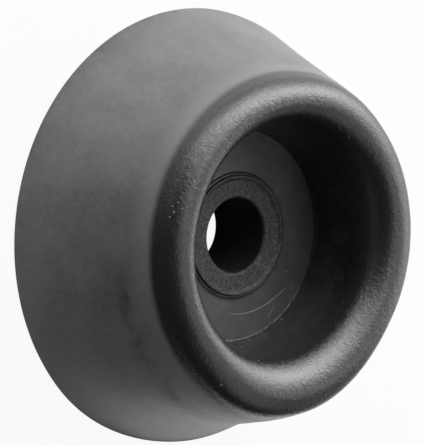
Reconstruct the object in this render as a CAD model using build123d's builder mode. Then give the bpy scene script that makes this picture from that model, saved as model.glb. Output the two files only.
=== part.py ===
from build123d import *
import os
from math import acos, atan, atan2, cos, degrees, hypot, radians, sin, tan

# Rubber buffer: a moulded rubber cone with a cup in its rounded nose, and a
# steel washer set in the cup's floor that spreads the load of one screw.
# The flat back lies on Z = 0, and the cup opens upwards along +Z.

# Overall sizes
base_diameter = 38.0
height = 14.3
base_edge_round = 0.3

# Rounded lip at the mouth of the cup
lip_crest_diameter = 24.0
lip_outer_round = 2.2
lip_inner_width = 1.9
lip_inner_depth = 2.7

# Cup
floor_height = 6.2
wall_draft = 10.5
floor_corner_round = 0.4

# Washer, with its raised rim and its seat in the cup's floor
washer_diameter = 10.3
washer_thickness = 1.6
washer_stand = 0.2
rim_width = 0.45
rim_rise = 0.2
rim_edge_round = 0.1
seat_clearance = 0.1

# Screw hole through the washer and the rubber
screw_diameter = 6.0
screw_clearance = 0.4
hole_edge_break = 0.15

# Radii and heights that follow from the sizes above
base_radius = base_diameter / 2
crest_radius = lip_crest_diameter / 2
hole_radius = (screw_diameter + screw_clearance) / 2
washer_radius = washer_diameter / 2
seat_radius = washer_radius + seat_clearance
washer_top = floor_height + washer_stand
seat_height = washer_top - washer_thickness

# The cone's side is the straight line that touches the base edge's round and the
# lip's outer round, so the two centres and the two radii set its slope
base_round_x = base_radius - base_edge_round
lip_round_z = height - lip_outer_round
centres_x = base_round_x - crest_radius
centres_z = lip_round_z - base_edge_round
cone_slope = degrees(
    acos((lip_outer_round - base_edge_round) / hypot(centres_x, centres_z))
    - atan2(centres_z, centres_x)
)

# The cup's wall leaves the lip's inner curve in a tangent, at the wall's draft
lip_inner_z = height - lip_inner_depth
inner_turn = atan(lip_inner_depth / lip_inner_width * tan(radians(wall_draft)))
wall_top_radius = crest_radius - lip_inner_width * cos(inner_turn)
wall_top_z = lip_inner_z + lip_inner_depth * sin(inner_turn)
floor_radius = wall_top_radius - (wall_top_z - floor_height) * tan(radians(wall_draft))


# Rubber body
with BuildPart() as rubber_body:
    with BuildSketch(Plane.XZ):
        with BuildLine():
            base_round = CenterArc(
                (base_round_x, base_edge_round), base_edge_round, -90, 90 + cone_slope
            )
            lip_round = CenterArc(
                (crest_radius, lip_round_z), lip_outer_round, cone_slope, 90 - cone_slope
            )
            Line(base_round @ 1, lip_round @ 0)
            lip_inner = EllipticalCenterArc(
                (crest_radius, lip_inner_z),
                lip_inner_width,
                lip_inner_depth,
                start_angle=90,
                arc_size=90 - degrees(inner_turn),
            )
            Polyline(
                lip_inner @ 1,
                (floor_radius, floor_height),
                (seat_radius, floor_height),
                (seat_radius, seat_height),
                (hole_radius, seat_height),
                (hole_radius, 0),
                base_round @ 0,
            )
        make_face()
    revolve(axis=Axis.Z)

    floor_circles = rubber_body.edges().filter_by(GeomType.CIRCLE).filter_by_position(
        Axis.Z, floor_height, floor_height
    )
    fillet(floor_circles.sort_by(SortBy.RADIUS)[-1], radius=floor_corner_round)

rubber_body.part.label = "rubber_body"


# Steel washer with a raised rim
with BuildPart() as washer_insert:
    with BuildSketch(Plane.XZ):
        with BuildLine():
            Polyline(
                (hole_radius, seat_height),
                (washer_radius, seat_height),
                (washer_radius, washer_top + rim_rise),
                (washer_radius - 2 * rim_edge_round, washer_top + rim_rise),
                (washer_radius - rim_width, washer_top),
                (hole_radius, washer_top),
                close=True,
            )
        make_face()
    revolve(axis=Axis.Z)

    outer_top = washer_insert.edges().group_by(Axis.Z)[-1].sort_by(SortBy.RADIUS)[-1]
    fillet(outer_top, radius=rim_edge_round)
    face_circles = washer_insert.edges().filter_by_position(Axis.Z, washer_top, washer_top)
    chamfer(face_circles.sort_by(SortBy.RADIUS)[0], length=hole_edge_break)

washer_insert.part.label = "washer_insert"


os.makedirs("parts", exist_ok=True)
export_step(rubber_body.part, "parts/rubber_body.step")
export_step(washer_insert.part, "parts/washer_insert.step")

print(f"cone side leans {cone_slope:.2f} degrees from the axis")
print(f"cup floor diameter {2 * floor_radius:.2f} mm")
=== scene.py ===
import math
import random

import bmesh
import bpy
import numpy as np
from mathutils import Matrix, Vector, noise


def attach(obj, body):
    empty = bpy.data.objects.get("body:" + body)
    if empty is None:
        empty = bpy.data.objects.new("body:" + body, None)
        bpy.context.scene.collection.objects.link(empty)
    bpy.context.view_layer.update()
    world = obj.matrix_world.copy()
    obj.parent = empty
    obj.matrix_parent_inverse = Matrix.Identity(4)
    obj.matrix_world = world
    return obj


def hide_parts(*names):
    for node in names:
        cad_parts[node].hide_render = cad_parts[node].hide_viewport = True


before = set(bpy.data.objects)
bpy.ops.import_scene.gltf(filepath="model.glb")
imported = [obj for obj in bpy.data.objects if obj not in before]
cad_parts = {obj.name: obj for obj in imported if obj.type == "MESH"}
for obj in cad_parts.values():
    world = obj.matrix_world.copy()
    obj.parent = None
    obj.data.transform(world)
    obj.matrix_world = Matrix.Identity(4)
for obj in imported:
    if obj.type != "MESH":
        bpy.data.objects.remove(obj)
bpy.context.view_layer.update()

# The look of a moulded rubber buffer with a washer in its cup. Lengths are in
# millimetres and are turned into metres where a mesh, material, lamp or camera is
# made. Azimuths are degrees about Z from +X, and heights are above the flat back.
MM = 0.001

# Sizes of the rubber body, the same as in the part's source
BASE_RADIUS = 19.0
HEIGHT = 14.3
BASE_EDGE_ROUND = 0.3
LIP_CREST_RADIUS = 12.0
LIP_OUTER_ROUND = 2.2
LIP_INNER_WIDTH = 1.9
LIP_INNER_DEPTH = 2.7
FLOOR_HEIGHT = 6.2
WALL_DRAFT = math.radians(10.5)
SEAT_HEIGHT = 4.8
HOLE_RADIUS = 3.2

# Sizes of the washer, the same as in the part's source
WASHER_RADIUS = 5.15
WASHER_TOP = 6.4
RIM_WIDTH = 0.45
RIM_RISE = 0.2
RIM_EDGE_ROUND = 0.1
HOLE_EDGE_BREAK = 0.15

# Finer than in the part's source: the washer's seat as moulded, and a low bead of
# rubber that hugs the washer. The cup's corner is left sharp, under its flash line.
SEAT_RADIUS = 5.19
SEAT_EDGE_ROUND = 0.05
BEAD_WIDTH = 0.34
BEAD_RISE = 0.22
BEAD_POINTS = 8

# The lip rolls further into the cup on one side
SIDE_ROLL = 0.5
SIDE_ROLL_AZIMUTH = 45.0

# Where the outer side stands off the round shape, as (height, offset): the foot is
# in and the lip is out. It does so on two sides, given as the azimuths where it
# begins, is full, is last full and ends, and its share there. On the back, which is
# all that lies below BACK_TOP, it fades in over BACK_LEAN_FADE's radii.
SIDE_LEAN = [
    (0.0, -0.45), (3.9, -0.58), (6.6, -0.33), (8.5, 0.06), (9.5, 0.24), (10.6, 0.46),
    (11.8, 0.63), (13.6, 0.74),
]
LEAN_SIDES = [((-38.0, 3.0, 18.0, 68.0), 1.0), ((140.0, 160.0, 170.0, 190.0), 0.14)]
BACK_LEAN_FADE = (13.0, 18.7)
BACK_TOP = 0.001

# A small length: room for rounding, and how far the flash stands off its corner
CLOSE = 0.01

# Unevenness of the moulded skin: slow swells, a faint hollow ring under the lip,
# lumps that are deeper on the lip, and the washer's cast grain
SWELL_DEPTH, SWELL_SIZE = 0.014, 3.1
HOLLOW_DEPTH, HOLLOW_HEIGHT, HOLLOW_WIDTH = 0.02, 9.6, 0.6
LUMP_DEPTH, LIP_LUMP_DEPTH, LUMP_SIZE = 0.004, 0.018, 0.38
LIP_LUMP_FADE = (11.4, 12.6)
CAST_DEPTH, CAST_SIZE = 0.022, 0.17

# Profile shape that follows from the sizes above
LIP_ROUND_Z = HEIGHT - LIP_OUTER_ROUND
LIP_INNER_Z = HEIGHT - LIP_INNER_DEPTH
BASE_ROUND_X = BASE_RADIUS - BASE_EDGE_ROUND
CENTRES_X = BASE_ROUND_X - LIP_CREST_RADIUS
CENTRES_Z = LIP_ROUND_Z - BASE_EDGE_ROUND
CONE_SLOPE = math.acos(
    (LIP_OUTER_ROUND - BASE_EDGE_ROUND) / math.hypot(CENTRES_X, CENTRES_Z)
) - math.atan2(CENTRES_Z, CENTRES_X)
INNER_TURN = math.atan(LIP_INNER_DEPTH / LIP_INNER_WIDTH * math.tan(WALL_DRAFT))
WALL_TOP_RADIUS = LIP_CREST_RADIUS - LIP_INNER_WIDTH * math.cos(INNER_TURN)
WALL_TOP_Z = LIP_INNER_Z + LIP_INNER_DEPTH * math.sin(INNER_TURN)
FLOOR_RADIUS = WALL_TOP_RADIUS - (WALL_TOP_Z - FLOOR_HEIGHT) * math.tan(WALL_DRAFT)

# How far apart the points of the outlines are. The cone's are closer together on a
# share of it below the lip.
ARC_STEP = 0.1
BACK_STEP, CONE_STEP, CONE_TOP_STEP = 1.6, 0.45, 0.13
WALL_STEP, FLOOR_STEP = 0.24, 0.22
SEAT_STEP, LEDGE_STEP, HOLE_STEP = 0.5, 0.7, 0.6
WASHER_UNDER_STEP, WASHER_SIDE_STEP, WASHER_FACE_STEP = 0.5, 0.3, 0.05
CONE_TOP_SHARE = 0.12

# Points round a ring of the meshes: the coarse number on the back, in the hole and
# on the cone below LIP_FINE_Z, the fine one on the lip and in the cup. Edges that
# turn by more than SHARP_EDGE are shaded sharp.
COARSE_RING = 320
FINE_RING = 640
WASHER_RING = 540
LIP_FINE_Z = 10.9
SHARP_EDGE = math.radians(50)

# Flash left by the mould in the cup's corner: its azimuths as in LEAN_SIDES, its
# radius at its ends, and what is added to that where it is full. What is added
# varies in waves, FLASH_BEATS to a radian, which also move the flash in radius
# (FLASH_SWAY) and in height (FLASH_LIFT).
FLASH_SPAN = (-14.0, 0.0, 35.0, 84.0)
FLASH_THINNEST = 0.010
FLASH_RADIUS = 0.065
FLASH_LEAST, FLASH_MEAN, FLASH_WAVE = 0.2, 0.8, 1.3
FLASH_SWAY, FLASH_LIFT = 0.04, 0.02
FLASH_BEATS = 16
FLASH_POINTS = 400
TUBE_SIDES = 8

# Fine raised lines on the cup's floor: name, size, and points as (radius, azimuth)
FLOOR_LINES = [
    ("floor_arc", 0.09, [
        (6.62, 1.0), (6.68, 8.2), (6.88, 15.7), (7.01, 22.2), (7.06, 29.8),
        (7.16, 38.5), (7.36, 48.2), (7.58, 56.2), (7.78, 62.0),
    ]),
    ("floor_mark", 0.06, [(8.36, 36.8), (8.14, 41.0), (7.94, 45.1)]),
]
LINE_POINTS = 60
LINE_SUNK = 0.45

# Crumbs of rubber, dust and rubbed spots: radius from the axis, height, azimuth,
# size. Each is sunk into the skin by a share of its size.
CRUMBS = [
    (6.96, 6.20, 349.2, 0.10), (6.34, 6.20, 357.6, 0.08), (9.04, 6.35, 8.0, 0.12),
    (9.00, 6.26, 18.2, 0.13), (9.10, 6.80, 18.0, 0.09), (9.04, 6.43, 29.4, 0.10),
    (9.36, 7.98, 5.6, 0.08), (10.35, 12.93, 352.2, 0.08), (10.30, 12.82, 7.9, 0.08),
    (13.48, 13.72, 334.7, 0.11), (13.61, 13.60, 16.2, 0.08), (13.67, 13.53, 11.3, 0.07),
    (12.76, 14.16, 24.6, 0.07), (9.08, 6.67, 43.8, 0.08), (10.71, 13.59, 161.5, 0.08),
    (10.64, 13.48, 153.8, 0.07), (7.56, 6.20, 78.6, 0.07), (6.89, 6.20, 68.9, 0.08),
    (6.54, 6.20, 340.1, 0.07), (6.91, 6.20, 348.0, 0.08), (6.59, 6.20, 354.1, 0.06),
    (7.24, 6.20, 352.0, 0.06), (5.74, 6.20, 4.2, 0.06), (6.11, 6.20, 16.3, 0.06),
    (6.21, 6.20, 26.9, 0.05),
]
CRUMB_SUNK = 0.3
SCUFFS = [
    (13.37, 13.82, 259.4, 0.10), (13.71, 13.49, 263.2, 0.12), (13.57, 13.64, 265.0, 0.10),
    (13.74, 13.45, 267.0, 0.09), (13.12, 13.99, 263.2, 0.08), (13.45, 13.75, 261.5, 0.07),
]
SCUFF_SUNK = 0.55

# Shape of a crumb or a rubbed spot, as shares of its size: ranges of its length and
# width, its thickness, and how much it swells. The other two say how finely it
# swells, and how much that differs from place to place.
CRUMB_LENGTH, CRUMB_WIDTH, CRUMB_THICKNESS = (0.8, 1.4), (0.6, 1.0), 0.7
CRUMB_SWELL, CRUMB_SWELL_SCALE = 0.4, 1.4
CRUMB_SPREAD = 9


# ---- profiles ----


def smoothstep(x, low, high):
    t = min(1.0, max(0.0, (x - low) / (high - low)))
    return t * t * (3 - 2 * t)


def within(x, begin, full, still, end):
    """1 from full to still, fading to 0 at begin and at end."""
    return smoothstep(x, begin, full) * smoothstep(-x, -end, -still)


def arc(centre, radii, start, stop):
    """Points on an ellipse's arc in the (radius, height) plane."""
    length = abs(stop - start) * (radii[0] + radii[1]) / 2
    count = max(3, round(length / ARC_STEP))
    return [
        (centre[0] + radii[0] * math.cos(a), centre[1] + radii[1] * math.sin(a))
        for a in np.linspace(start, stop, count + 1)
    ]


def straight(a, b, step):
    """Points from a to b, about step apart."""
    count = max(1, round(math.dist(a, b) / step))
    return [tuple(p) for p in np.linspace(a, b, count + 1)]


def rounded_corner(before, corner, after, radius, count=4):
    """Points on the round that replaces a corner between two straight runs."""
    corner = np.array(corner)
    u = np.array(before) - corner
    v = np.array(after) - corner
    u = u / np.linalg.norm(u)
    v = v / np.linalg.norm(v)
    half = math.acos(float(u @ v)) / 2
    middle = corner + (u + v) / np.linalg.norm(u + v) * radius / math.sin(half)
    a = corner + u * radius / math.tan(half) - middle
    b = corner + v * radius / math.tan(half) - middle
    turn = math.atan2(a[0] * b[1] - a[1] * b[0], float(a @ b))
    points = []
    for t in np.linspace(0, turn, count + 1):
        c, s = math.cos(t), math.sin(t)
        points.append((middle[0] + c * a[0] - s * a[1], middle[1] + s * a[0] + c * a[1]))
    return points


def joined(*runs):
    """One list of points from several runs, without the points they share."""
    points = []
    for run in runs:
        for p in run:
            if not points or math.dist(p, points[-1]) > 1e-6:
                points.append(p)
    return points


def washer_bead():
    """The bead that hugs the washer, from the floor to its top, and the round that
    leads from there down into the seat."""
    foot = SEAT_RADIUS + BEAD_WIDTH
    crest = SEAT_RADIUS + SEAT_EDGE_ROUND
    top = FLOOR_HEIGHT + BEAD_RISE
    rise = [
        (foot + (crest - foot) * t, FLOOR_HEIGHT + BEAD_RISE * smoothstep(t, 0, 1))
        for t in np.linspace(0, 1, BEAD_POINTS)
    ]
    edge = rounded_corner(
        (foot, top), (SEAT_RADIUS, top), (SEAT_RADIUS, SEAT_HEIGHT), SEAT_EDGE_ROUND
    )
    return rise, edge


def rubber_profile():
    """The body's closed outline, from the hole's lower end out, up and back."""
    base = arc(
        (BASE_ROUND_X, BASE_EDGE_ROUND), (BASE_EDGE_ROUND, BASE_EDGE_ROUND),
        -math.pi / 2, CONE_SLOPE,
    )
    outer = arc(
        (LIP_CREST_RADIUS, LIP_ROUND_Z), (LIP_OUTER_ROUND, LIP_OUTER_ROUND),
        CONE_SLOPE, math.pi / 2,
    )
    inner = arc(
        (LIP_CREST_RADIUS, LIP_INNER_Z), (LIP_INNER_WIDTH, LIP_INNER_DEPTH),
        math.pi / 2, math.pi - INNER_TURN,
    )
    cone_top = np.array(outer[0]) + (np.array(base[-1]) - outer[0]) * CONE_TOP_SHARE
    corner = (FLOOR_RADIUS, FLOOR_HEIGHT)
    bead, seat_edge = washer_bead()
    seat_corner = (SEAT_RADIUS, SEAT_HEIGHT)
    hole_top = (HOLE_RADIUS, SEAT_HEIGHT)
    hole_end = (HOLE_RADIUS, 0.0)
    return joined(
        straight(hole_end, (BASE_ROUND_X, 0.0), BACK_STEP),
        base,
        straight(base[-1], cone_top, CONE_STEP),
        straight(cone_top, outer[0], CONE_TOP_STEP),
        outer,
        inner,
        straight((WALL_TOP_RADIUS, WALL_TOP_Z), corner, WALL_STEP),
        straight(corner, bead[0], FLOOR_STEP),
        bead,
        seat_edge,
        straight(seat_edge[-1], seat_corner, SEAT_STEP),
        straight(seat_corner, hole_top, LEDGE_STEP),
        straight(hole_top, hole_end, HOLE_STEP),
    )[:-1]


def washer_profile():
    """The washer's closed outline, from the hole's lower end out, up and back."""
    rim_top = WASHER_TOP + RIM_RISE
    rim_inner = (WASHER_RADIUS - 2 * RIM_EDGE_ROUND, rim_top)
    rim_foot = (WASHER_RADIUS - RIM_WIDTH, WASHER_TOP)
    hole_end = (HOLE_RADIUS, SEAT_HEIGHT)
    under_edge = (WASHER_RADIUS, SEAT_HEIGHT)
    rim_edge = rounded_corner(
        under_edge, (WASHER_RADIUS, rim_top), rim_inner, RIM_EDGE_ROUND, count=6
    )
    face_end = (HOLE_RADIUS + HOLE_EDGE_BREAK, WASHER_TOP)
    bore_top = (HOLE_RADIUS, WASHER_TOP - HOLE_EDGE_BREAK)
    return joined(
        straight(hole_end, under_edge, WASHER_UNDER_STEP),
        straight(under_edge, rim_edge[0], WASHER_SIDE_STEP),
        rim_edge,
        straight(rim_edge[-1], rim_inner, WASHER_FACE_STEP),
        straight(rim_inner, rim_foot, WASHER_FACE_STEP),
        straight(rim_foot, face_end, WASHER_FACE_STEP),
        straight(face_end, bore_top, WASHER_FACE_STEP),
        straight(bore_top, hole_end, WASHER_SIDE_STEP),
    )[:-1]


def outward(points):
    """Unit normals of a closed outline that runs anticlockwise."""
    p = np.array(points)
    ahead = np.roll(p, -1, axis=0) - p
    behind = p - np.roll(p, 1, axis=0)
    along = ahead / np.linalg.norm(ahead, axis=1)[:, None]
    along += behind / np.linalg.norm(behind, axis=1)[:, None]
    normal = np.stack([along[:, 1], -along[:, 0]], 1)
    return normal / np.linalg.norm(normal, axis=1)[:, None]


# ---- meshes ----


def ring_faces(lower, upper):
    """Faces between two rings of vertex indices. One ring may have twice the
    points of the other."""
    n, m = len(lower), len(upper)
    faces = []
    for k in range(min(n, m)):
        j = (k + 1) % min(n, m)
        if n == m:
            faces.append((lower[k], lower[j], upper[j], upper[k]))
        elif n > m:
            a, b, c = lower[2 * k], lower[2 * k + 1], lower[(2 * k + 2) % n]
            faces += [(a, b, upper[k]), (b, upper[j], upper[k]), (b, c, upper[j])]
        else:
            a, b, c = upper[2 * k], upper[2 * k + 1], upper[(2 * k + 2) % m]
            faces += [(lower[k], b, a), (lower[k], lower[j], b), (lower[j], c, b)]
    return faces


def new_object(name, data):
    made = bpy.data.objects.new(name, data)
    bpy.context.scene.collection.objects.link(made)
    return made


def new_piece(name, vertices, faces):
    mesh = bpy.data.meshes.new(name)
    mesh.from_pydata((np.array(vertices) * MM).tolist(), [], faces)
    mesh.validate()
    mesh.update()
    mesh.shade_smooth()
    mesh.set_sharp_from_angle(angle=SHARP_EDGE)
    return new_object(name, mesh)


def revolved(name, profile, ring_size, place):
    """A closed solid of revolution. ring_size(r, z) is the number of points round
    a ring, and place(r, z, normal, azimuth) the radius and height of each."""
    normals = outward(profile)
    vertices = []
    rings = []
    for (r, z), normal in zip(profile, normals):
        count = ring_size(r, z)
        rings.append(range(len(vertices), len(vertices) + count))
        for a in np.linspace(0, 2 * math.pi, count, endpoint=False):
            radius, height = place(r, z, normal, a)
            vertices.append((radius * math.cos(a), radius * math.sin(a), height))
    faces = []
    for lower, upper in zip(rings, rings[1:] + rings[:1]):
        faces += ring_faces(lower, upper)
    return new_piece(name, vertices, faces)


def around(r, z, azimuth):
    """The point at a radius, height and azimuth in radians."""
    return Vector((r * math.cos(azimuth), r * math.sin(azimuth), z))


def lumps(where, size):
    """Noise about 0.5, in lumps about size across."""
    return 0.5 + 0.5 * noise.noise(where / size)


def side_roll(r, z, azimuth):
    """How far a point of the cup's side stands in from the outline."""
    if r > LIP_CREST_RADIUS or r < FLOOR_RADIUS - CLOSE or z < FLOOR_HEIGHT:
        return 0.0
    side = (0.5 + 0.5 * math.cos(azimuth - math.radians(SIDE_ROLL_AZIMUTH))) ** 2
    if z > WALL_TOP_Z:
        share = (LIP_CREST_RADIUS - r) / (LIP_CREST_RADIUS - WALL_TOP_RADIUS)
    else:
        share = smoothstep(z, FLOOR_HEIGHT, WALL_TOP_Z)
    return SIDE_ROLL * side * share


def side_lean(r, z, azimuth):
    """How far a point of the outer side stands out from the round shape. The lean
    fades out down the lip's inner side and across the back."""
    if z > WALL_TOP_Z:
        outer = (r - WALL_TOP_RADIUS) / (LIP_CREST_RADIUS - WALL_TOP_RADIUS)
        outer = min(1.0, max(0.0, outer))
    elif z > BACK_TOP:
        outer = 1.0 if r > LIP_CREST_RADIUS else 0.0
    else:
        outer = smoothstep(r, *BACK_LEAN_FADE)
    if outer == 0:
        return 0.0
    degrees = (math.degrees(azimuth) + 90) % 360 - 90
    share = sum(most * within(degrees, *span) for span, most in LEAN_SIDES)
    heights, offsets = zip(*SIDE_LEAN)
    return outer * share * float(np.interp(z, heights, offsets))


def rubber_depth(r, z, where):
    """How far the moulded skin lies under its outline. The back, the seat and the
    hole are left even."""
    if z < BACK_TOP or (r < SEAT_RADIUS + CLOSE and z < FLOOR_HEIGHT):
        return 0.0
    ring = math.exp(-(((z - HOLLOW_HEIGHT) / HOLLOW_WIDTH) ** 2)) if r > LIP_CREST_RADIUS else 0.0
    lump_depth = LUMP_DEPTH + LIP_LUMP_DEPTH * smoothstep(z, *LIP_LUMP_FADE)
    return (
        SWELL_DEPTH * lumps(where, SWELL_SIZE)
        + HOLLOW_DEPTH * ring
        + lump_depth * lumps(where, LUMP_SIZE)
    )


def rubber_place(r, z, normal, azimuth):
    under = rubber_depth(r, z, around(r, z, azimuth))
    radius = r - normal[0] * under - side_roll(r, z, azimuth) + side_lean(r, z, azimuth)
    return radius, z - normal[1] * under


def rubber_ring(r, z):
    """The number of points round a ring of the rubber."""
    on_cone = r > LIP_CREST_RADIUS and z < LIP_FINE_Z
    under_cup = z < FLOOR_HEIGHT - SEAT_EDGE_ROUND
    return COARSE_RING if on_cone or under_cup else FINE_RING


def washer_place(r, z, normal, azimuth):
    """The washer's cast grain, on the faces that show."""
    if z < WASHER_TOP - HOLE_EDGE_BREAK - CLOSE:
        return r, z
    under = CAST_DEPTH * lumps(around(r, z, azimuth), CAST_SIZE)
    return r - normal[0] * under, z - normal[1] * under


def washer_ring(r, z):
    """The number of points round a ring of the washer, the same all over."""
    return WASHER_RING


def tube(name, path, radii):
    """A solid bead along a path of points, with its own radius at each."""
    vertices, rings = [], []
    for i, p in enumerate(path):
        ahead = path[min(i + 1, len(path) - 1)]
        behind = path[max(i - 1, 0)]
        along = (ahead - behind).normalized()
        side = along.cross(Vector((0, 0, 1))).normalized()
        up = side.cross(along)
        rings.append(range(len(vertices), len(vertices) + TUBE_SIDES))
        for a in np.linspace(0, 2 * math.pi, TUBE_SIDES, endpoint=False):
            vertices.append(p + (side * math.cos(a) + up * math.sin(a)) * radii[i])
    faces = []
    for lower, upper in zip(rings, rings[1:]):
        faces += ring_faces(lower, upper)
    faces += [tuple(reversed(rings[0])), tuple(rings[-1])]
    return new_piece(name, vertices, faces)


def smooth_path(marks, height):
    """Points at a height along a smooth curve through marks of (radius, azimuth)."""
    marks = np.array(marks)
    order = min(3, len(marks) - 1)
    fit = np.polyfit(marks[:, 1], marks[:, 0], order)
    azimuths = np.linspace(marks[0, 1], marks[-1, 1], LINE_POINTS)
    return [around(np.polyval(fit, a), height, math.radians(a)) for a in azimuths]


def on_surface(r, z):
    """The point of the rubber's outline nearest (r, z), and the normal there."""
    profile = np.array(rubber_profile())
    after = np.roll(profile, -1, axis=0)
    run = after - profile
    share = ((np.array((r, z)) - profile) * run).sum(1) / (run * run).sum(1)
    nearest = profile + run * np.clip(share, 0, 1)[:, None]
    i = int(np.argmin(np.linalg.norm(nearest - (r, z), axis=1)))
    length = math.hypot(*run[i])
    return nearest[i], (run[i][1] / length, -run[i][0] / length)


def grains(name, spots, sunk):
    """Small irregular lumps, each sunk into the surface by a share of its size."""
    random.seed(4)
    shape = bmesh.new()
    for r, z, azimuth, size in spots:
        t = math.radians(azimuth)
        (radius, height), (out, up) = on_surface(r, z)
        radius += side_lean(radius, height, t) - side_roll(radius, height, t)
        normal = around(out, up, t)
        centre = around(radius, height, t) - normal * size * sunk
        length, width = random.uniform(*CRUMB_LENGTH), random.uniform(*CRUMB_WIDTH)
        stretch = Vector((length, width, CRUMB_THICKNESS))
        turn = Matrix.Rotation(random.uniform(0, math.pi), 3, "Z")
        tilt = normal.to_track_quat("Z", "X").to_matrix()
        made = bmesh.ops.create_icosphere(shape, subdivisions=3, radius=size)
        for vertex in made["verts"]:
            # the centre makes each crumb's swellings its own
            spot = vertex.co / size * CRUMB_SWELL_SCALE + centre * CRUMB_SPREAD
            swell = 1 + CRUMB_SWELL * noise.noise(spot)
            vertex.co = centre + tilt @ turn @ (vertex.co * swell * stretch)
    mesh = bpy.data.meshes.new(name)
    shape.to_mesh(mesh)
    shape.free()
    mesh.transform(Matrix.Scale(MM, 4))
    mesh.shade_smooth()
    return new_object(name, mesh)


# ---- materials ----


def grey(level):
    return (level, level, level)


# Colours of the rubber: dusty on the cone, with a band of painted light and a dark streak
# under the lip, rubbed clean on the lip, and darker in the cup as painted shade, with blotches
CONE_DARK, CONE_LIGHT = grey(0.105), grey(0.200)
# painted light: the pale band under the lip
PAINTED_LIGHT_BAND_COLOUR = grey(0.230)
STREAK_COLOUR = grey(0.040)
LIP_COLOUR = grey(0.020)
# painted shade: the cup's wall and floor are darker than the lip; the blotches are uneven tone
CUP_SHADE_DARK, CUP_SHADE_LIGHT = grey(0.004), grey(0.030)
CUP_FLOOR_SHADE_DARK, CUP_FLOOR_SHADE_LIGHT = grey(0.004), grey(0.036)
# painted highlight: the flash and the floor's raised lines are paler than the rubber round them
FLASH_HIGHLIGHT_COLOUR = grey(0.230)
CRUMB_COLOUR = grey(0.30)
SCUFF_COLOUR = grey(0.30)
CRUMB_DARK_SHARE = 0.6

# Gloss of the rubber
CONE_ROUGHNESS, LIP_ROUGHNESS, FLOOR_ROUGHNESS = 0.42, 0.29, 0.54
ROUGHNESS_SPECKLE = 0.04
CRUMB_ROUGHNESS = 0.7
RUBBER_SPECULAR = 1.0
RUBBER_IOR = 1.65

# Where each finish begins and is full, by radius or by height
LIP_FADE = (11.75, 12.45)
MOUTH_FADE = (11.9, 11.6)
BACK_FADE = (0.02, 0.1)
CUP_FADE = (12.6, 10.2)
CUP_FLOOR_FADE = (6.7, 6.4)
# The band of painted light on the cone: where it begins and is full, and its most share
PAINTED_LIGHT_BAND_FADE = (9.9, 11.6)
PAINTED_LIGHT_BAND_SHARE = 0.7

# The streak: its middle, half its width, how far it wanders, the cosines of the
# angles from its azimuth where it begins and is full, and the radii that keep it
# on the cone
STREAK_HEIGHT = 9.55
STREAK_AZIMUTH = 322.0
STREAK_HALF_WIDTH = 0.85
STREAK_WANDER = 0.5
STREAK_SIDE = (0.72, 0.93)
STREAK_RADII = (12.6, 13.2)

# Noises: the size of the lumps, the detail and the roughness. Most of their values
# keep to NOISE_SPAN. The other spans set how much of the blotches and of the streak
# shows.
CLOUDS = (3.2, 3.0, 0.5)
MOTTLE = (0.5, 3.0, 0.6)
BLOTCHES = (1.1, 4.0, 0.65)
FINE_GRAIN = (0.20, 2.0, 0.6)
STREAK_BENDS = (2.2, 2.0, 0.5)
STREAK_BREAKS = (1.5, 3.0, 0.6)
SPECKS = (0.06, 2.0, 0.5)
NOISE_SPAN = (0.3, 0.7)
BLOTCH_SPAN = (0.46, 0.74)
BREAK_SPAN = (0.34, 0.70)

# Grain in the finish, finer than in the mesh: its height, and its shares on the
# cone and in the cup
GRAIN_HEIGHT = 0.042
CONE_GRAIN, CUP_GRAIN = 0.62, 0.4

# The washer: blackened, with brighter grains in patches, and even and darker in its bore as
# painted shade
WASHER_DARK, WASHER_LIGHT = grey(0.018), grey(0.120)
BORE_SHADE_COLOUR = grey(0.026)
BORE_SHADE_FADE = (6.28, 6.18)
WASHER_GRAIN = (0.19, 3.0, 0.65)
WASHER_PATCHES = (0.9, 2.0, 0.5)
WASHER_GRAIN_SPAN = (0.38, 0.66)
WASHER_PATCH_LEAST = 0.5
WASHER_ROUGHNESS = (0.62, 0.46)


def new_material(name):
    material = bpy.data.materials.new(name)
    material.use_nodes = True
    tree = material.node_tree
    shader = tree.nodes["Principled BSDF"]
    return material, tree, shader


def position(tree):
    return tree.nodes.new("ShaderNodeTexCoord").outputs["Object"]


def noise_texture(tree, where, kind):
    """One of the noises that are named above."""
    size, detail, roughness = kind
    node = tree.nodes.new("ShaderNodeTexNoise")
    node.inputs["Scale"].default_value = 1 / (size * MM)
    node.inputs["Detail"].default_value = detail
    node.inputs["Roughness"].default_value = roughness
    tree.links.new(where, node.inputs["Vector"])
    return node.outputs["Fac"]


def mapped(tree, value, low, high, to_low=0.0, to_high=1.0, smooth=False):
    node = tree.nodes.new("ShaderNodeMapRange")
    if smooth:
        node.interpolation_type = "SMOOTHSTEP"
    node.inputs["From Min"].default_value = low
    node.inputs["From Max"].default_value = high
    node.inputs["To Min"].default_value = to_low
    node.inputs["To Max"].default_value = to_high
    tree.links.new(value, node.inputs["Value"])
    return node.outputs["Result"]


def faded(tree, length, span, least=0.0, most=1.0, smooth=False):
    """A share that goes from least to most over a span of lengths."""
    return mapped(tree, length, span[0] * MM, span[1] * MM, least, most, smooth)


def combined(tree, operation, a, b):
    """One value from two, each a socket or a number."""
    node = tree.nodes.new("ShaderNodeMath")
    node.operation = operation
    for value, socket in zip((a, b), node.inputs):
        if isinstance(value, float):
            socket.default_value = value
        else:
            tree.links.new(value, socket)
    return node.outputs[0]


def blend_colours(tree, share, a, b):
    """A blend from a to b, each a socket or a colour."""
    node = tree.nodes.new("ShaderNodeMix")
    node.data_type = "RGBA"
    for value, socket in ((a, node.inputs["A"]), (b, node.inputs["B"])):
        if isinstance(value, tuple):
            socket.default_value = (*value, 1)
        else:
            tree.links.new(value, socket)
    tree.links.new(share, node.inputs["Factor"])
    return node.outputs["Result"]


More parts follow.
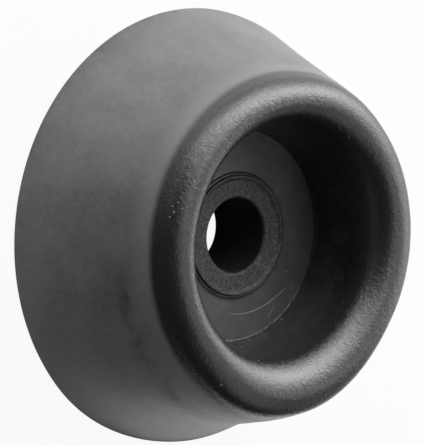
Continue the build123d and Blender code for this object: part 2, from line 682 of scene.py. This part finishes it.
def bumped(tree, height):
    """A normal from a grain's height, where 1 stands for GRAIN_HEIGHT."""
    node = tree.nodes.new("ShaderNodeBump")
    node.inputs["Distance"].default_value = GRAIN_HEIGHT * MM
    tree.links.new(height, node.inputs["Height"])
    return node.outputs["Normal"]


def vector_math(tree, operation, where, other=None):
    """A vector node on a position and, where given, a fixed vector."""
    node = tree.nodes.new("ShaderNodeVectorMath")
    node.operation = operation
    tree.links.new(where, node.inputs[0])
    if other is not None:
        node.inputs[1].default_value = other
    return node


def radius_and_height(tree, where):
    """A point's distance from the axis and its height, in metres."""
    parts = tree.nodes.new("ShaderNodeSeparateXYZ")
    tree.links.new(where, parts.inputs[0])
    flat = tree.nodes.new("ShaderNodeCombineXYZ")
    tree.links.new(parts.outputs["X"], flat.inputs["X"])
    tree.links.new(parts.outputs["Y"], flat.inputs["Y"])
    length = vector_math(tree, "LENGTH", flat.outputs[0])
    return length.outputs["Value"], parts.outputs["Z"]


def finish_zones(tree, radius, height):
    """Shares of the finishes of the lip, the cup and the cup's floor. The lip's
    fades in on its outer side and covers the mouth, the cup's takes over down the
    wall, and the floor's does so at its foot."""
    above_back = faded(tree, height, BACK_FADE)
    inside = combined(tree, "MULTIPLY", faded(tree, radius, MOUTH_FADE), above_back)
    lip = combined(tree, "MAXIMUM", faded(tree, height, LIP_FADE, smooth=True), inside)
    cup = combined(tree, "MULTIPLY", faded(tree, height, CUP_FADE, smooth=True), inside)
    on_floor = combined(tree, "MULTIPLY", cup, faded(tree, height, CUP_FLOOR_FADE))
    return lip, cup, on_floor


def foot_streak(tree, where, radius, height):
    """A broken dark streak round part of the cone, below the lip."""
    reach = STREAK_WANDER * MM
    bends = noise_texture(tree, where, STREAK_BENDS)
    level = combined(tree, "ADD", height, mapped(tree, bends, *NOISE_SPAN, -reach, reach))
    off = combined(tree, "SUBTRACT", level, STREAK_HEIGHT * MM)
    off = combined(tree, "ABSOLUTE", off, 0.0)
    band = faded(tree, off, (STREAK_HALF_WIDTH, 0.0), smooth=True)
    a = math.radians(STREAK_AZIMUTH)
    facing = vector_math(tree, "DOT_PRODUCT", where, (math.cos(a), math.sin(a), 0))
    cosine = combined(tree, "DIVIDE", facing.outputs["Value"], radius)
    side = mapped(tree, cosine, *STREAK_SIDE, smooth=True)
    broken = mapped(tree, noise_texture(tree, where, STREAK_BREAKS), *BREAK_SPAN)
    band = combined(tree, "MULTIPLY", combined(tree, "MULTIPLY", band, side), broken)
    return combined(tree, "MULTIPLY", band, faded(tree, radius, STREAK_RADII))


def cone_colour(tree, where, radius, height, mottle):
    """Dusty and mottled, paler under the lip where light is painted in, with the streak across
    it.
    """
    cloud = noise_texture(tree, where, CLOUDS)
    cloudy, mottled = mapped(tree, cloud, *NOISE_SPAN), mapped(tree, mottle, *NOISE_SPAN)
    tone = combined(tree, "MULTIPLY", combined(tree, "ADD", cloudy, mottled), 0.5)
    colour = blend_colours(tree, tone, CONE_DARK, CONE_LIGHT)
    # painted light: the cone is paler towards the lip
    painted_light_band = faded(tree, height, PAINTED_LIGHT_BAND_FADE, 0.0, PAINTED_LIGHT_BAND_SHARE, smooth=True)
    colour = blend_colours(tree, painted_light_band, colour, PAINTED_LIGHT_BAND_COLOUR)
    streak = foot_streak(tree, where, radius, height)
    return blend_colours(tree, streak, colour, STREAK_COLOUR)


def rubber_roughness(tree, lip, on_floor, mottle):
    """Smoothest on the lip and down the cup's wall, and matt on its floor."""
    rough = mapped(tree, lip, 0.0, 1.0, CONE_ROUGHNESS, LIP_ROUGHNESS)
    matt = mapped(tree, on_floor, 0.0, 1.0, 0.0, FLOOR_ROUGHNESS - LIP_ROUGHNESS)
    speckle = mapped(tree, mottle, *NOISE_SPAN, -ROUGHNESS_SPECKLE, ROUGHNESS_SPECKLE)
    return combined(tree, "ADD", combined(tree, "ADD", rough, matt), speckle)


def rubber_grain(tree, where, lip, cup):
    """Fine grain, full on the lip, shallower on the cone and most so in the cup."""
    fine = noise_texture(tree, where, FINE_GRAIN)
    on_lip = mapped(tree, lip, 0.0, 1.0, CONE_GRAIN, 1.0)
    in_cup = mapped(tree, cup, 0.0, 1.0, 0.0, 1 - CUP_GRAIN)
    depth = combined(tree, "SUBTRACT", on_lip, in_cup)
    return bumped(tree, combined(tree, "MULTIPLY", fine, depth))


def rubber_material():
    material, tree, shader = new_material("moulded_rubber")
    where = position(tree)
    radius, height = radius_and_height(tree, where)
    lip, cup, on_floor = finish_zones(tree, radius, height)
    mottle = noise_texture(tree, where, MOTTLE)
    blotch = mapped(tree, noise_texture(tree, where, BLOTCHES), *BLOTCH_SPAN)

    colour = cone_colour(tree, where, radius, height, mottle)
    colour = blend_colours(tree, lip, colour, LIP_COLOUR)
    # painted shade in the cup, with blotches
    in_cup = blend_colours(tree, blotch, CUP_SHADE_DARK, CUP_SHADE_LIGHT)
    colour = blend_colours(tree, cup, colour, in_cup)
    cup_floor_shade_colour = blend_colours(tree, blotch, CUP_FLOOR_SHADE_DARK, CUP_FLOOR_SHADE_LIGHT)
    colour = blend_colours(tree, on_floor, colour, cup_floor_shade_colour)
    tree.links.new(colour, shader.inputs["Base Color"])

    roughness = rubber_roughness(tree, lip, on_floor, mottle)
    tree.links.new(roughness, shader.inputs["Roughness"])
    shader.inputs["Specular IOR Level"].default_value = RUBBER_SPECULAR
    shader.inputs["IOR"].default_value = RUBBER_IOR
    tree.links.new(rubber_grain(tree, where, lip, cup), shader.inputs["Normal"])
    return material


def washer_material():
    """Cast and blackened steel, with brighter grains, and painted shade in its bore."""
    material, tree, shader = new_material("blackened_washer")
    where = position(tree)
    _, height = radius_and_height(tree, where)
    grain = noise_texture(tree, where, WASHER_GRAIN)
    patch = noise_texture(tree, where, WASHER_PATCHES)
    bright = mapped(tree, grain, *WASHER_GRAIN_SPAN)
    share = mapped(tree, patch, *NOISE_SPAN, WASHER_PATCH_LEAST, 1.0)
    tone = combined(tree, "MULTIPLY", bright, share)
    colour = blend_colours(tree, tone, WASHER_DARK, WASHER_LIGHT)
    # painted shade in the bore
    colour = blend_colours(tree, faded(tree, height, BORE_SHADE_FADE), colour, BORE_SHADE_COLOUR)
    tree.links.new(colour, shader.inputs["Base Color"])
    roughness = mapped(tree, grain, *NOISE_SPAN, *WASHER_ROUGHNESS)
    tree.links.new(roughness, shader.inputs["Roughness"])
    tree.links.new(bumped(tree, grain), shader.inputs["Normal"])
    return material


def grain_material(name, colour):
    """Loose rubber, flash or a rubbed spot: paler than the skin, and matt.
    On the flash and the floor lines the paleness is a painted highlight.
    """
    material, tree, shader = new_material(name)
    speck = noise_texture(tree, position(tree), SPECKS)
    dark = tuple(CRUMB_DARK_SHARE * c for c in colour)
    share = mapped(tree, speck, *NOISE_SPAN)
    tree.links.new(blend_colours(tree, share, dark, colour), shader.inputs["Base Color"])
    shader.inputs["Roughness"].default_value = CRUMB_ROUGHNESS
    return material


# ---- stage, light and camera ----

# The floor is white to the camera. In reflections its white is painted: a glowing patch,
# as of a lit sheet of paper under the object and towards the light, that fades out at its
# edge, with a painted shadow under the object and less of it in a painted shadow of the
# object beside its foot. The floor lies just under the object's back, so that the two aren't
# in one plane. WHITE_SHARE is the white's share in what the camera and reflections see, and
# the rest is paint that keeps the object's shadow.
FLOOR_HALF = 3000.0
FLOOR_GAP = 0.02
FLOOR_COLOUR = grey(0.8)
WHITE_SHARE = 0.93
FOOT_FADE = (BASE_RADIUS, BASE_RADIUS + 0.4)
GLOW_PATCH_CENTRE = (-32.0, 31.0)
GLOW_PATCH_FADE = (80.0, 64.0)
# painted shadow of the object on the floor, seen in reflections
SHADE_CENTRE = (1.2, -9.1)
SHADE_FADE = (18.6, 21.2)
SHADE_SHARE = 0.62

# Soft lamps round a window on the object's far side: azimuth, elevation, radiance
LAMPS = [
    (65, 12, 0.30), (95, 12, 1.35), (125, 12, 2.46), (155, 12, 1.20), (185, 12, 0.95),
    (215, 12, 1.40), (245, 12, 0.28), (30, 38, 0.45), (100, 38, 1.15), (135, 38, 3.65),
    (170, 38, 3.10), (205, 38, 2.12), (60, 62, 0.55), (160, 62, 1.46), (210, 62, 0.40),
    (0, 90, 0.46),
]
LAMP_DISTANCE = 250.0
LAMP_DIAMETER = 143.4
WORLD_STRENGTH = 0.030

# Camera, from the perspective of the base's, lip's and hole's circles
CAMERA_BACK = Vector((0.0, -0.66, 0.7513))
CAMERA_RIGHT = Vector((-0.1435, 0.7436, 0.653))
CAMERA_UP = Vector((-0.9897, -0.1078, -0.0947))
CAMERA_DISTANCE = 304.0
CAMERA_SHIFT_RIGHT = 2.179
CAMERA_SHIFT_UP = 0.511
CAMERA_LENS = 285.13


def distance_from(tree, where, spot):
    """Distance along the floor from a spot given in millimetres, in metres."""
    offset = vector_math(tree, "SUBTRACT", where, (spot[0] * MM, spot[1] * MM, 0))
    away, _ = radius_and_height(tree, offset.outputs[0])
    return away


def painted_reflection_share(tree):
    """How white the floor is in reflections, all of it painted: not at all under the object,
    less in a painted shadow of the object, and fading out at the glowing patch's edge."""
    where = position(tree)
    # painted shadow under the object
    outside = faded(tree, distance_from(tree, where, (0.0, 0.0)), FOOT_FADE)
    away = distance_from(tree, where, GLOW_PATCH_CENTRE)
    glow_patch = faded(tree, away, GLOW_PATCH_FADE, smooth=True)
    away = distance_from(tree, where, SHADE_CENTRE)
    lit = faded(tree, away, SHADE_FADE, 1 - SHADE_SHARE, 1.0, smooth=True)
    return combined(tree, "MULTIPLY", outside, combined(tree, "MULTIPLY", glow_patch, lit))


def floor_material():
    """White paint that the lamps light, and over it the plain white for the camera and the
    painted white, with its painted shadows, for reflections."""
    material, tree, shader = new_material("floor_white")
    shader.inputs["Base Color"].default_value = (*FLOOR_COLOUR, 1)
    shader.inputs["Roughness"].default_value = 1.0
    shader.inputs["Specular IOR Level"].default_value = 0.0
    ray = tree.nodes.new("ShaderNodeLightPath").outputs
    white = tree.nodes.new("ShaderNodeEmission")
    # painted reflection: the floor's glow in reflections follows the painted patch and shadows
    strength = combined(tree, "MAXIMUM", painted_reflection_share(tree), ray["Is Camera Ray"])
    tree.links.new(strength, white.inputs["Strength"])
    mirrored = combined(tree, "MAXIMUM", ray["Is Glossy Ray"], ray["Is Transmission Ray"])
    seen = combined(tree, "MAXIMUM", ray["Is Camera Ray"], mirrored)
    mix = tree.nodes.new("ShaderNodeMixShader")
    tree.links.new(combined(tree, "MULTIPLY", seen, WHITE_SHARE), mix.inputs["Fac"])
    tree.links.new(shader.outputs[0], mix.inputs[1])
    tree.links.new(white.outputs[0], mix.inputs[2])
    tree.links.new(mix.outputs[0], tree.nodes["Material Output"].inputs["Surface"])
    return material


def white_floor():
    mesh = bpy.data.meshes.new("floor")
    h, low = FLOOR_HALF * MM, -FLOOR_GAP * MM
    corners = [(-h, -h, low), (h, -h, low), (h, h, low), (-h, h, low)]
    mesh.from_pydata(corners, [], [(0, 1, 2, 3)])
    floor = new_object("floor", mesh)
    floor.data.materials.append(floor_material())


def soft_lamps():
    for azimuth, elevation, radiance in LAMPS:
        a, e = math.radians(azimuth), math.radians(elevation)
        towards = around(math.cos(e), math.sin(e), a)
        name = f"lamp_{elevation}_{azimuth}"
        lamp = bpy.data.lights.new(name, "AREA")
        lamp.shape = "DISK"
        lamp.size = LAMP_DIAMETER * MM
        # the power at which a disk has this radiance
        lamp.energy = radiance * math.pi * math.pi * (LAMP_DIAMETER * MM / 2) ** 2
        place = new_object(name, lamp)
        place.location = towards * LAMP_DISTANCE * MM
        place.rotation_mode = "QUATERNION"
        place.rotation_quaternion = towards.to_track_quat("Z", "Y")
        place.visible_camera = False


def grey_world():
    world = bpy.data.worlds.new("studio")
    world.use_nodes = True
    background = world.node_tree.nodes["Background"]
    background.inputs["Color"].default_value = (1, 1, 1, 1)
    background.inputs["Strength"].default_value = WORLD_STRENGTH
    bpy.context.scene.world = world


def photo_camera():
    camera = bpy.data.cameras.new("camera")
    camera.lens = CAMERA_LENS
    camera.sensor_width = 36.0
    camera.clip_start = 0.01
    camera.clip_end = 20.0
    turn = Matrix((CAMERA_RIGHT, CAMERA_UP, CAMERA_BACK)).transposed().to_4x4()
    spot = (
        CAMERA_BACK * CAMERA_DISTANCE
        + CAMERA_RIGHT * CAMERA_SHIFT_RIGHT
        + CAMERA_UP * CAMERA_SHIFT_UP
    )
    place = new_object("camera", camera)
    place.matrix_world = Matrix.Translation(spot * MM) @ turn
    bpy.context.scene.camera = place


# ---- the object ----


def dressed(piece, material):
    piece.data.materials.append(material)
    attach(piece, "root")
    return piece


def make_rubber():
    body = revolved("rubber_skin", rubber_profile(), rubber_ring, rubber_place)
    dressed(body, rubber_material())
    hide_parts("rubber_body")


def make_washer():
    washer = revolved("washer_skin", washer_profile(), washer_ring, washer_place)
    dressed(washer, washer_material())
    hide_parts("washer_insert")


def make_flash_line(material):
    """The flash in the cup's corner, uneven and tapering out."""
    path, radii = [], []
    for degrees in np.linspace(FLASH_SPAN[0], FLASH_SPAN[-1], FLASH_POINTS):
        a = math.radians(degrees)
        wave = noise.noise(around(1, 0, a) * FLASH_BEATS)
        uneven = max(FLASH_LEAST, FLASH_MEAN + FLASH_WAVE * wave)
        height = FLOOR_HEIGHT + CLOSE + FLASH_LIFT * wave
        path.append(around(FLOOR_RADIUS - CLOSE + FLASH_SWAY * wave, height, a))
        radii.append(FLASH_THINNEST + FLASH_RADIUS * within(degrees, *FLASH_SPAN) * uneven)
    dressed(tube("flash_line", path, radii), material)


def make_floor_lines(material):
    """Raised lines on the cup's floor, thinning out at both ends."""
    taper = [math.sin(math.pi * (i + 1) / (LINE_POINTS + 1)) ** 0.5 for i in range(LINE_POINTS)]
    for name, size, marks in FLOOR_LINES:
        path = smooth_path(marks, FLOOR_HEIGHT - LINE_SUNK * size)
        dressed(tube(name, path, [size * t for t in taper]), material)


def make_grains():
    crumb = grain_material("rubber_crumb", CRUMB_COLOUR)
    dressed(grains("crumbs", CRUMBS, CRUMB_SUNK), crumb)
    scuff = grain_material("rubbed_spot", SCUFF_COLOUR)
    dressed(grains("scuffs", SCUFFS, SCUFF_SUNK), scuff)


make_rubber()
make_washer()
# the flash and the floor lines get a painted highlight
flash = grain_material("flash_painted_highlight", FLASH_HIGHLIGHT_COLOUR)
make_flash_line(flash)
make_floor_lines(flash)
make_grains()
white_floor()
soft_lamps()
grey_world()
photo_camera()

bpy.context.scene.view_settings.view_transform = "Standard"
